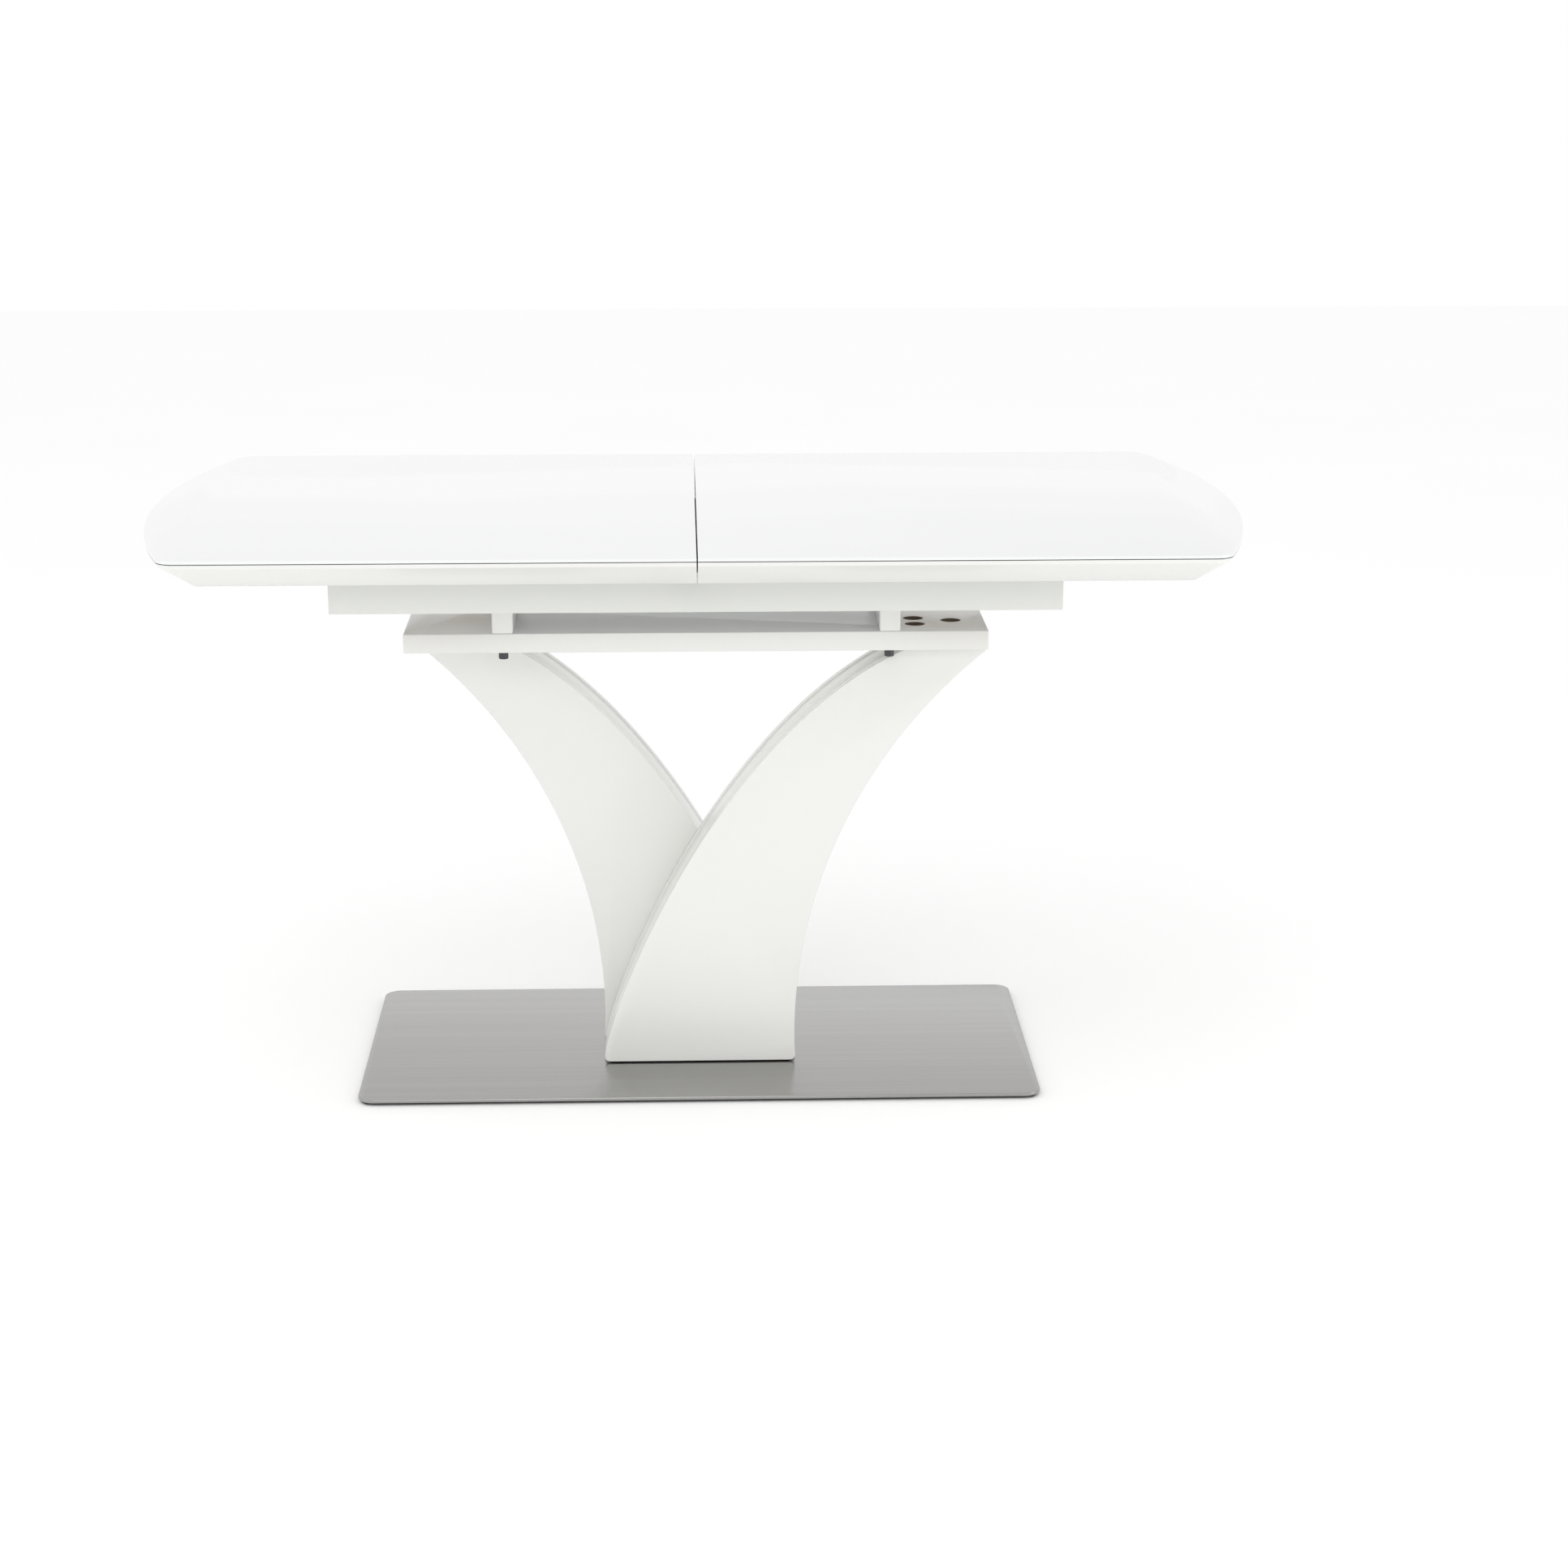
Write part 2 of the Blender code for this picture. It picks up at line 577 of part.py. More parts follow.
underlay_half = (BASE_HALF_X - UNDERLAY_INSET, BASE_HALF_Y - UNDERLAY_INSET)
plate = flat_mesh(rounded(BASE_HALF_X, BASE_HALF_Y, BASE_CORNER), PLATE_THICK)
add("base_plate", plate, BRUSHED_STEEL, (0, 0, BASE_TOP - PLATE_THICK / 2))
underlay = flat_mesh(rounded(*underlay_half, BASE_CORNER - UNDERLAY_INSET), UNDERLAY_TOP - UNDERLAY_FOOT)
add("base_underlay", underlay, BLACK_BOARD, (0, 0, (UNDERLAY_TOP + UNDERLAY_FOOT) / 2))
for sign in (-1, 1):
    for side in (-1, 1):
        foot = flat_mesh(rounded(*FOOT_HALF, FOOT_CORNER, 3), FOOT_THICK)
        x = sign * (BASE_HALF_X - FOOT_INSET - FOOT_HALF[0])
        y = side * (BASE_HALF_Y - FOOT_INSET - FOOT_HALF[1])
        add(f"foot_{end_name(sign)}_{side_name(side)}", foot, BLACK_RUBBER, (x, y, FOOT_THICK / 2))
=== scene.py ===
from math import pi, radians

import bmesh
import bpy
import numpy as np
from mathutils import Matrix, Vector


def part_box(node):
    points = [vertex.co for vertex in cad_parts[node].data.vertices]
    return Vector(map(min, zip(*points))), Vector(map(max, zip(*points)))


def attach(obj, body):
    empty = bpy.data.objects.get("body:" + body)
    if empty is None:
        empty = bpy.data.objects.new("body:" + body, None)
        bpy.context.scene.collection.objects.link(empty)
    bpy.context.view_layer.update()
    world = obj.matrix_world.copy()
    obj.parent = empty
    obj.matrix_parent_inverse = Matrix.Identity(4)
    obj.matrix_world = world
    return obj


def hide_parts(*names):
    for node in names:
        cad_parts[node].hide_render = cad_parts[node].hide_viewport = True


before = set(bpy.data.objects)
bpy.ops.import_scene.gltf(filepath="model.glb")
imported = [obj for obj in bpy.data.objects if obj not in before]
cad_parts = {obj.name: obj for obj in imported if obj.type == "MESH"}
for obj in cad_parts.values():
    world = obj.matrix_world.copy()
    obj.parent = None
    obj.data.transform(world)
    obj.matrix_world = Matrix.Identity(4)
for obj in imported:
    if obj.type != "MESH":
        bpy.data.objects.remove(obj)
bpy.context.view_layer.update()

# Studio. The table stands alone on a white sweep under an even white tent, and the camera looks down at it
# from standing height, a little to the left of its middle.

camera = bpy.data.objects.new("camera", bpy.data.cameras.new("camera"))
camera.data.sensor_width = 36.0
camera.data.lens = 73.77
camera.location = (-0.0195, -4.1506, 1.4616)
LOOK_DOWN, LOOK_RIGHT = 0.2576, 0.0326
camera.rotation_euler = (pi / 2 - LOOK_DOWN, 0.0, -LOOK_RIGHT)
bpy.context.scene.collection.objects.link(camera)
bpy.context.scene.camera = camera
bpy.context.scene.view_settings.view_transform = "Standard"

tent = bpy.data.worlds.new("tent")
tent.use_nodes = True
backdrop = tent.node_tree.nodes["Background"]
backdrop.inputs["Color"].default_value = (1.0, 1.0, 1.0, 1.0)
backdrop.inputs["Strength"].default_value = 1.0
bpy.context.scene.world = tent


def soft_light(name, place, aim, size, power):
    """A square soft box at a place, facing a point: its -Z axis follows the line between the two."""
    light = bpy.data.objects.new(name, bpy.data.lights.new(name, "AREA"))
    light.data.size = size
    light.data.energy = power
    light.location = place
    line = np.subtract(aim, place)
    across = np.hypot(line[0], line[1])
    light.rotation_euler = (np.arctan2(across, -line[2]), 0.0, np.arctan2(-line[0], line[1]))
    bpy.context.scene.collection.objects.link(light)


soft_light("overhead_box", (-0.8, -1.2, 3.2), (0.0, 0.0, 0.5), 2.4, 12.0)
soft_light("front_box", (-0.4, -3.4, 2.6), (0.0, 0.0, 0.3), 1.6, 15.0)
soft_light("left_box", (-3.2, -1.6, 1.0), (0.0, 0.0, 0.5), 1.6, 5.0)
soft_light("right_box", (3.2, -1.6, 0.6), (0.0, 0.0, 0.4), 1.6, 13.0)


def mesh_piece(name, rings, smooth_to=35.0):
    """A closed mesh through an array of rings of matching points. Each ring joins the next by a band of
    quads, and the first and last ones are filled flat. Edges sharper than smooth_to degrees stay crisp."""
    count, around = rings.shape[:2]
    here = np.arange(around)
    after = (here + 1) % around
    low = np.arange(count - 1)[:, None] * around
    quads = np.stack((low + here, low + after, low + after + around, low + here + around), axis=-1)
    ends = [here[::-1].tolist(), (here + (count - 1) * around).tolist()]
    faces = quads.reshape(-1, 4).tolist() + ends
    mesh = bpy.data.meshes.new(name)
    mesh.from_pydata(rings.reshape(-1, 3).tolist(), [], faces)
    form = bmesh.new()
    form.from_mesh(mesh)
    bmesh.ops.recalc_face_normals(form, faces=form.faces)
    form.to_mesh(mesh)
    form.free()
    mesh.shade_smooth()
    mesh.set_sharp_from_angle(angle=radians(smooth_to))
    piece = bpy.data.objects.new(name, mesh)
    bpy.context.scene.collection.objects.link(piece)
    return piece


class Wire:
    """A socket in a finish's node tree. Sums on wires add Math nodes, and so do the comparisons."""

    def __init__(self, tree, socket):
        self.tree = tree
        self.socket = socket

    def node(self, kind, settings=None, inputs=None, out=0):
        """Adds a node of a kind, sets its settings, then its inputs, and gives back one of its outputs."""
        made = self.tree.nodes.new("ShaderNode" + kind)
        for key, value in (settings or {}).items():
            setattr(made, key, value)
        for key, value in (inputs or {}).items():
            if isinstance(value, Wire):
                self.tree.links.new(value.socket, made.inputs[key])
            else:
                made.inputs[key].default_value = value
        return Wire(self.tree, made.outputs[out])

    def sum(self, operation, first, second):
        return self.node("Math", {"operation": operation}, {0: first, 1: second})

    def __add__(self, other):
        return self.sum("ADD", self, other)

    def __radd__(self, other):
        return self.sum("ADD", other, self)

    def __sub__(self, other):
        return self.sum("SUBTRACT", self, other)

    def __rsub__(self, other):
        return self.sum("SUBTRACT", other, self)

    def __mul__(self, other):
        return self.sum("MULTIPLY", self, other)

    def __rmul__(self, other):
        return self.sum("MULTIPLY", other, self)

    def above(self, level):
        """1 where this wire is over a level and 0 elsewhere."""
        return self.sum("GREATER_THAN", self, level)

    def below(self, level):
        """1 where this wire is under a level and 0 elsewhere."""
        return self.sum("LESS_THAN", self, level)

    def axes(self):
        """The three numbers of a place, X, Y and Z."""
        return [self.node("SeparateXYZ", {}, {0: self}, out=axis) for axis in range(3)]

    def noise(self, scale, stretch=(1.0, 1.0, 1.0), detail=3.0, roughness=0.5):
        """Fractal noise from 0 to 1 with scale cells a metre, stretched by a factor on each axis."""
        spread = self.node("Mapping", {}, {"Vector": self, "Scale": tuple(1.0 / s for s in stretch)})
        return self.node(
            "TexNoise", {}, {"Vector": spread, "Scale": scale, "Detail": detail, "Roughness": roughness}
        )

    def blend(self, first, second):
        """A colour between two, by this mask."""
        shades = [(*shade, 1.0) if isinstance(shade, tuple) else shade for shade in (first, second)]
        return self.node("Mix", {"data_type": "RGBA"}, {"Factor": self, 6: shades[0], 7: shades[1]}, out=2)

    def bump(self, height, distance):
        """The surface normal, tilted by a height map whose full range is a distance in metres."""
        return self.node("Bump", {}, {"Height": height, "Distance": distance, "Strength": 1.0})


def new_finish(name):
    """An empty finish: its material, its shader, and a wire that carries the place on the piece in metres."""
    material = bpy.data.materials.new(name)
    material.use_nodes = True
    shader = material.node_tree.nodes["Principled BSDF"]
    coordinates = material.node_tree.nodes.new("ShaderNodeTexCoord")
    return material, shader, Wire(material.node_tree, coordinates.outputs["Object"])


def feed(shader, **sockets):
    """Sets or links the shader's sockets, named with _ for a space."""
    for key, value in sockets.items():
        socket = shader.inputs[key.replace("_", " ")]
        if isinstance(value, Wire):
            value.tree.links.new(value.socket, socket)
        else:
            socket.default_value = value


sweep_finish, sweep_shader, place = new_finish("white_sweep")
feed(
    sweep_shader,
    Base_Color=place.noise(1.5).blend((0.90, 0.90, 0.90), (0.92, 0.92, 0.92)),
    Roughness=0.9,
    Specular_IOR_Level=0.0,
    Emission_Color=(1.0, 1.0, 1.0, 1.0),
    Emission_Strength=0.06,
)
SWEEP_HALF, SWEEP_THICK = 9.0, 0.02
sweep_square = SWEEP_HALF * np.array([(-1, -1), (1, -1), (1, 1), (-1, 1)])
sweep_rings = [np.column_stack((sweep_square, np.full(4, z))) for z in (-SWEEP_THICK, 0.0)]
sweep = mesh_piece("sweep", np.array(sweep_rings))
sweep.data.materials.append(sweep_finish)


def dress(piece, body, slot, finish, *nodes):
    """Puts a finished piece on its body in place of the CAD nodes named."""
    piece.data.materials.clear()
    piece.data.materials.append(finish)
    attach(piece, body)
    if nodes:
        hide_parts(*nodes)
    return piece


# Feet and underlay. Four thin black rubber pads carry a black-painted board, which weights the foot and
# shows only as a dark line under the steel.


def inset(outline, amount):
    """An anticlockwise outline moved inwards: each point goes along its mitre, the sum of its two edges'
    outward normals over one plus their dot product."""
    before = outline - np.roll(outline, 1, axis=0)
    after = np.roll(outline, -1, axis=0) - outline
    before = before[:, ::-1] * (1, -1) / np.linalg.norm(before, axis=1)[:, None]
    after = after[:, ::-1] * (1, -1) / np.linalg.norm(after, axis=1)[:, None]
    return outline - amount * (before + after) / (1 + (before * after).sum(axis=1))[:, None]


def eased(thick, radius, steps=3):
    """The edge of a board with both arrises rounded: (inset, height) pairs along two quarter circles."""
    turn = np.linspace(0, pi / 2, steps + 1)
    foot = np.column_stack((radius * (1 - np.sin(turn)), radius * (1 - np.cos(turn))))
    return np.vstack((foot, np.column_stack((foot[::-1, 0], thick - foot[::-1, 1]))))


def carry(outline, edge, base, axis="z"):
    """Carries an edge profile round an outline. Heights rise from base along an axis, and the outline lies in
    the other two."""
    count = len(outline)
    rings = [np.column_stack((inset(outline, i), np.full(count, base + height))) for i, height in edge]
    return np.array(rings)[:, :, {"x": [2, 0, 1], "y": [0, 2, 1], "z": [0, 1, 2]}[axis]]


def rounded_box(low, high, corner, steps=5):
    """A rectangle between two corners with its own corners rounded, as quarter circles."""
    middle = (np.array(low) + high) / 2
    half = (np.array(high) - low) / 2 - corner
    turn = np.linspace(0, pi / 2, steps + 1)
    quarters = []
    for quarter, signs in enumerate(((1, 1), (-1, 1), (-1, -1), (1, -1))):
        angle = turn + quarter * pi / 2
        quarters.append(middle + half * signs + corner * np.column_stack((np.cos(angle), np.sin(angle))))
    return np.vstack(quarters)


def node_box(node):
    """The lowest and highest corners of a CAD node, as arrays."""
    return (np.array(point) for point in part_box(node))


def flat_board(name, node, corner, ease, axis="z", steps=5):
    """A board that fills a CAD node's box, its thickness along an axis: rounded corners in its face and eased
    arrises."""
    low, high = node_box(node)
    thick = "xyz".index(axis)
    face = [i for i in range(3) if i != thick]
    outline = rounded_box(low[face], high[face], corner, steps)
    return mesh_piece(name, carry(outline, eased(high[thick] - low[thick], ease), low[thick], axis))


rubber, rubber_shader, place = new_finish("black_rubber")
mould = place.noise(900.0, detail=2.0)
feed(
    rubber_shader,
    Base_Color=place.noise(60.0).blend((0.012, 0.012, 0.012), (0.028, 0.027, 0.026)),
    Roughness=0.75 + 0.15 * mould,
    Normal=place.bump(mould, 0.0002),
)
PAD_CORNER, PAD_EASE = 0.006, 0.0003
for end in ("left", "right"):
    for side in ("front", "back"):
        node = f"foot_{end}_{side}"
        pad = flat_board(f"pad_{end}_{side}", node, PAD_CORNER, PAD_EASE)
        dress(pad, "frame", "black_rubber", rubber, node)

black_paint, black_shader, place = new_finish("black_board")
fibre = place.noise(500.0, detail=4.0)
feed(
    black_shader,
    Base_Color=place.noise(25.0).blend((0.016, 0.016, 0.016), (0.032, 0.031, 0.030)),
    Roughness=0.50 + 0.20 * fibre,
    Normal=place.bump(fibre, 0.0001),
)
UNDERLAY_CORNER, UNDERLAY_EASE = 0.019, 0.0004
underlay = flat_board("underlay", "base_underlay", UNDERLAY_CORNER, UNDERLAY_EASE)
dress(underlay, "frame", "black_board", black_paint, "base_underlay")

# Base plate. One sheet of stainless steel with a long brushed grain that runs the length of the table, its
# arris eased and bright.

steel, steel_shader, place = new_finish("brushed_steel")
grain = place.noise(220.0, stretch=(180.0, 1.0, 1.0), detail=5.0, roughness=0.65)
long_grain = place.noise(40.0, stretch=(60.0, 1.0, 1.0), detail=3.0)
cloud = place.noise(3.0, stretch=(2.0, 1.0, 1.0))
feed(
    steel_shader,
    Base_Color=(grain * 0.6 + long_grain * 0.4).blend((0.31, 0.307, 0.300), (0.43, 0.426, 0.419)),
    Metallic=1.0,
    Roughness=0.15 + 0.07 * grain + 0.04 * cloud,
    Normal=place.bump(grain, 0.00004),
)
PLATE_CORNER, PLATE_EASE = 0.022, 0.0012
plate = flat_board("steel_plate", "base_plate", PLATE_CORNER, PLATE_EASE, steps=8)
dress(plate, "frame", "base_steel", steel, "base_plate")

# Legs. Each is a hollow blade of fibreboard, lacquered white: two flat panels sawn to the same curve, a thin
# bent skin let in between them along each curved edge, and a hardwood block in the top for the screws.


def sprayed(place, light=(0.815, 0.817, 0.790), dull=(0.790, 0.793, 0.762), matt=0.24, coat=0.35):
    """What a sprayed lacquer feeds its shader: a white that drifts slowly between two, and a fine peel that
    shows in the gloss and as a bump of a few hundredths of a millimetre."""
    peel = place.noise(260.0, detail=2.0)
    drift = place.noise(4.0, detail=2.0)
    return {
        "Base_Color": drift.blend(dull, light),
        "Roughness": matt + 0.08 * peel + 0.05 * drift,
        "Coat_Weight": coat,
        "Coat_Roughness": 0.12,
        "Normal": place.bump(peel, 0.00006),
    }


lacquer, lacquer_shader, place = new_finish("white_lacquer")
feed(lacquer_shader, **sprayed(place))

leg_low, leg_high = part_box("front_leg_front_panel")
SHOE = 0.0016
LEG_FOOT, LEG_TOP = leg_low[2] + SHOE, leg_high[2]
ARC_CENTRE, ARC_RADIUS, TRIM_X = (0.7975, 0.0477), 0.6706, 0.3745
BLADE = np.array([(-0.1268, LEG_FOOT), (-0.1282, 0.0588), (0.0196, 0.4669), (0.2822, LEG_TOP)])


def inner_edge(steps=64):
    """The blade's inner edge, a cubic curve from the foot up: each of four points is weighted by its
    Bernstein polynomial."""
    t = np.linspace(0, 1, steps + 1)[:, None]
    weights = ((1 - t) ** 3, 3 * (1 - t) ** 2 * t, 3 * (1 - t) * t**2, t**3)
    return sum(weight * point for weight, point in zip(weights, BLADE))


def outer_edge(steps=48):
    """The blade's outer edge from the foot up: an arc of a circle whose centre lies outside the leg, as far
    as the height where it reaches TRIM_X, and plumb from there to the top."""
    trim_z = ARC_CENTRE[1] + np.sqrt(ARC_RADIUS**2 - (ARC_CENTRE[0] - TRIM_X) ** 2)
    z = np.linspace(LEG_FOOT, trim_z, steps + 1)
    arc = np.column_stack((ARC_CENTRE[0] - np.sqrt(ARC_RADIUS**2 - (z - ARC_CENTRE[1]) ** 2), z))
    return np.vstack((arc, (TRIM_X, LEG_TOP)))


def parallel(edge, amount):
    """A curve moved to its right by an amount, then cut to the leg's height."""
    run = np.gradient(np.vstack((2 * edge[0] - edge[1], edge, 2 * edge[-1] - edge[-2])), axis=0)[1:-1]
    moved = edge + amount * np.column_stack((run[:, 1], -run[:, 0])) / np.linalg.norm(run, axis=1)[:, None]
    run *= 0.02 / np.linalg.norm(run, axis=1)[:, None]
    reach = np.vstack((moved[0] - run[0], moved, moved[-1] + run[-1]))
    z = np.clip(edge[:, 1], LEG_FOOT, LEG_TOP)
    return np.column_stack((np.interp(z, reach[:, 1], reach[:, 0]), z))


def round_corner(before, corner, after, size, steps=6):
    """A corner of an outline replaced by a parabola between points a size away on its two sides."""
    t = np.linspace(0, 1, steps + 1)[:, None]
    first = corner + (before - corner) * size / np.linalg.norm(before - corner)
    last = corner + (after - corner) * size / np.linalg.norm(after - corner)
    return (1 - t) ** 2 * first + 2 * t * (1 - t) * corner + t**2 * last


FOOT_CORNER, SKIN_SETBACK, SKIN_THICK = 0.008, 0.0004, 0.006
BLOCK_SETBACK, BLOCK_HIGH = 0.0070, 0.040
inner, outer = inner_edge(), outer_edge()
panel_outline = np.vstack(
    (
        round_corner(inner[4], inner[0], outer[0], FOOT_CORNER),
        round_corner(inner[0], outer[0], outer[4], FOOT_CORNER),
        outer[2:],
        inner[:3:-1],
    )
)
inner_outline = np.vstack((parallel(inner, SKIN_THICK), parallel(inner, SKIN_SETBACK)[::-1]))
outer_outline = np.vstack((parallel(outer, -SKIN_SETBACK), parallel(outer, -SKIN_THICK)[::-1]))
inner_core = parallel(inner, BLOCK_SETBACK)[inner[:, 1] > LEG_TOP - BLOCK_HIGH]
outer_core = parallel(outer, -BLOCK_SETBACK)[outer[:, 1] > LEG_TOP - BLOCK_HIGH]
block_outline = np.vstack((outer_core, inner_core[::-1]))


def leg_piece(leg, kind, outline, ease):
    """One layer of a leg in its CAD node's depth. The rear leg is the front one turned half a turn about the
    upright axis."""
    low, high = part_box(f"{leg}_{kind}")
    edge = eased(high[1] - low[1], ease)
    if leg == "front_leg":
        return mesh_piece(f"{leg}_{kind}_face", carry(outline, edge, low[1], "y"))
    return mesh_piece(f"{leg}_{kind}_face", carry(outline, edge, -high[1], "y") * (-1, -1, 1))


beech, beech_shader, place = new_finish("beech")
ray = place.noise(320.0, stretch=(22.0, 1.0, 1.0), detail=4.0, roughness=0.6)
figure = place.noise(28.0, stretch=(9.0, 1.0, 1.0), detail=3.0)
feed(
    beech_shader,
    Base_Color=(figure * 0.7 + ray * 0.3).blend((0.40, 0.23, 0.11), (0.66, 0.45, 0.26)),
    Roughness=0.42 + 0.2 * ray,
    Normal=place.bump(ray, 0.0001),
)
SHOE_HALF, SHOE_INSET, SHOE_CORNER, SHOE_EASE = 0.120, 0.003, 0.004, 0.0002
PANEL_EASE, SKIN_EASE = 0.0010, 0.0003
for leg in ("front_leg", "rear_leg"):
    faces = [point[1] for kind in ("front_panel", "rear_panel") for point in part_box(f"{leg}_{kind}")]
    near, far = min(faces) + SHOE_INSET, max(faces) - SHOE_INSET
    # Under each leg a thin black rubber shoe, set in from its faces, lifts it off the steel; its black is
    # painted shade, darkening the gap line under the leg.
    shoe_outline = rounded_box((-SHOE_HALF, near), (SHOE_HALF, far), SHOE_CORNER)
    shade_shoe = mesh_piece(f"{leg}_shoe", carry(shoe_outline, eased(SHOE, SHOE_EASE), leg_low[2]))
    dress(shade_shoe, "frame", "black_rubber", rubber)
    for kind, outline, ease, slot, finish in (
        ("front_panel", panel_outline, PANEL_EASE, "white_lacquer", lacquer),
        ("rear_panel", panel_outline, PANEL_EASE, "white_lacquer", lacquer),
        ("inner_skin", inner_outline, SKIN_EASE, "white_lacquer", lacquer),
        ("outer_skin", outer_outline, SKIN_EASE, "white_lacquer", lacquer),
        ("top_block", block_outline, SKIN_EASE, "beech", beech),
    ):
        dress(leg_piece(leg, kind, outline, ease), "frame", slot, finish, f"{leg}_{kind}")

# Mounting board. Fibreboard, lacquered, with its arrises eased. Its top face is a lighter, cooler white than
# the
# lacquer: painted light, for the light that reaches it under the table top. Each leg is held to it by three
# screws that sit at the bottom of wide counterbores, bare board inside, its brown darkened as painted shade
# deep in the bores.


def turned(name, profile, place, hexed=0, axis="z", around=48):
    """A solid turned about an axis through a place: rings of (radius, height) pairs. The last hexed rings
    are hexagons whose flats lie at the radius: the radius over the cosine of the angle from the middle of the
    nearest flat."""
    profile = np.array(profile)
    angle = np.arange(around) * 2 * pi / around
    radius = np.repeat(profile[:, :1], around, axis=1)
    flats = np.cos((angle + pi / 6) % (pi / 3) - pi / 6)
    radius[len(profile) - hexed :] /= flats
    height = np.repeat(profile[:, 1:], around, axis=1)
    rings = np.stack((radius * np.cos(angle), radius * np.sin(angle), height), axis=-1)
    return mesh_piece(name, (rings if axis == "z" else rings[:, :, [2, 0, 1]]) + place)


def bored(piece, cutters):
    """Cuts closed meshes out of a piece and keeps the result as the piece's own mesh."""
    for cutter in cutters:
        cut = piece.modifiers.new(cutter.name, "BOOLEAN")
        cut.object = cutter
        cut.solver = "EXACT"
    mesh = bpy.data.meshes.new_from_object(piece.evaluated_get(bpy.context.evaluated_depsgraph_get()))
    piece.modifiers.clear()
    piece.data = mesh
    mesh.shade_smooth()
    mesh.set_sharp_from_angle(angle=radians(35.0))
    for cutter in cutters:
        bpy.data.objects.remove(cutter)
    return piece


board_low, board_high = (tuple(map(float, point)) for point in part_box("mounting_board"))
BOARD_FOOT, BOARD_TOP = board_low[2], board_high[2]
BOARD_CORNER, BOARD_EASE = 0.002, 0.0012
BORE_PLACES = ((0.283, -0.041), (0.283, -0.077), (0.331, -0.055))
BORE_RADIUS, BORE_DEEP, BORE_EASE, PILOT_RADIUS, OVERCUT = 0.01325, 0.015, 0.0006, 0.0035, 0.01
bore_floor = BOARD_TOP - BORE_DEEP
bore_profile = [
    (PILOT_RADIUS, BOARD_FOOT - OVERCUT),
    (PILOT_RADIUS, bore_floor),
    (BORE_RADIUS, bore_floor),
    (BORE_RADIUS, BOARD_TOP - BORE_EASE),
    (BORE_RADIUS + BORE_EASE, BOARD_TOP),
    (BORE_RADIUS + BORE_EASE, BOARD_TOP + OVERCUT),
]
bore_places = [(sign * x, sign * y, 0.0) for sign in (-1, 1) for x, y in BORE_PLACES]
cutters = [turned("bore", bore_profile, bore_place) for bore_place in bore_places]
board = bored(flat_board("leg_board", "mounting_board", BOARD_CORNER, BOARD_EASE), cutters)
board_finish, board_shader, place = new_finish("board_lacquer")
LIT_TOP_DEEP, SKIN, RIM = 0.0003, 0.0008, 0.010
BARE_BOARD_SHADED, LIT_TOP_WHITE = (0.17, 0.13, 0.09), (0.865, 0.875, 0.880)
x, y, z = place.axes()
inside = x.sum("ABSOLUTE", x, 0.0).below(board_high[0] - RIM)
inside = inside * y.sum("ABSOLUTE", y, 0.0).below(board_high[1] - RIM)
bare_in_shade = inside * z.below(BOARD_TOP - SKIN) * z.above(BOARD_FOOT + SKIN)
coat = sprayed(place)
# Painted light: the top face takes a lighter, cooler white than the lacquer, for the light that reaches it
# under the table top.
painted = z.above(BOARD_TOP - LIT_TOP_DEEP).blend(coat["Base_Color"], LIT_TOP_WHITE)
# Partly painted shade: the bores' bare fibreboard is a darker brown than the board's own, for the shade deep
# in the bores.
coat["Base_Color"] = bare_in_shade.blend(painted, BARE_BOARD_SHADED)
coat["Roughness"] += 0.4 * bare_in_shade
coat["Coat_Weight"] *= 1.0 - bare_in_shade
feed(board_shader, **coat)
dress(board, "frame", "white_lacquer", board_finish, "mounting_board")

zinc, zinc_shader, place = new_finish("zinc_plate")
spangle = place.noise(700.0, detail=3.0)
tint = place.noise(45.0, detail=2.0)
feed(
    zinc_shader,
    Base_Color=(tint * 0.6 + spangle * 0.4).blend((0.50, 0.51, 0.53), (0.72, 0.73, 0.74)),
    Metallic=1.0,
    Roughness=0.28 + 0.22 * spangle,
    Normal=place.bump(spangle, 0.00003),
)
SHANK, HEAD, SOCKET = 0.0030, 0.0062, 0.0020
head_foot, head_top = bore_floor + 0.0003, bore_floor + 0.0041
screw_profile = [
    (SHANK, bore_floor - 0.006),
    (SHANK, head_foot),
    (HEAD - 0.0006, head_foot),
    (HEAD, head_foot + 0.0005),
    (HEAD, head_foot + 0.0019),
    (HEAD - 0.0012, head_top - 0.0005),
    (HEAD - 0.0032, head_top),
    (SOCKET, head_top),
    (SOCKET, head_top - 0.0025),
]
for number, bore_place in enumerate(bore_places, 1):
    screw = turned(f"leg_screw_{number}", screw_profile, bore_place, hexed=2)
    dress(screw, "frame", "fastener_steel", zinc)

black_oxide, oxide_shader, place = new_finish("black_oxide")
speck = place.noise(1200.0, detail=2.0)
feed(
    oxide_shader,
    Base_Color=speck.blend((0.05, 0.05, 0.055), (0.12, 0.12, 0.125)),
    Metallic=1.0,
    Roughness=0.32 + 0.2 * speck,
    Normal=place.bump(speck, 0.00004),
)

# Bearers and bolts. Two solid blocks stand on the board and carry the frame. A bolt comes up through the
# board and each end of a block, its socket head below.

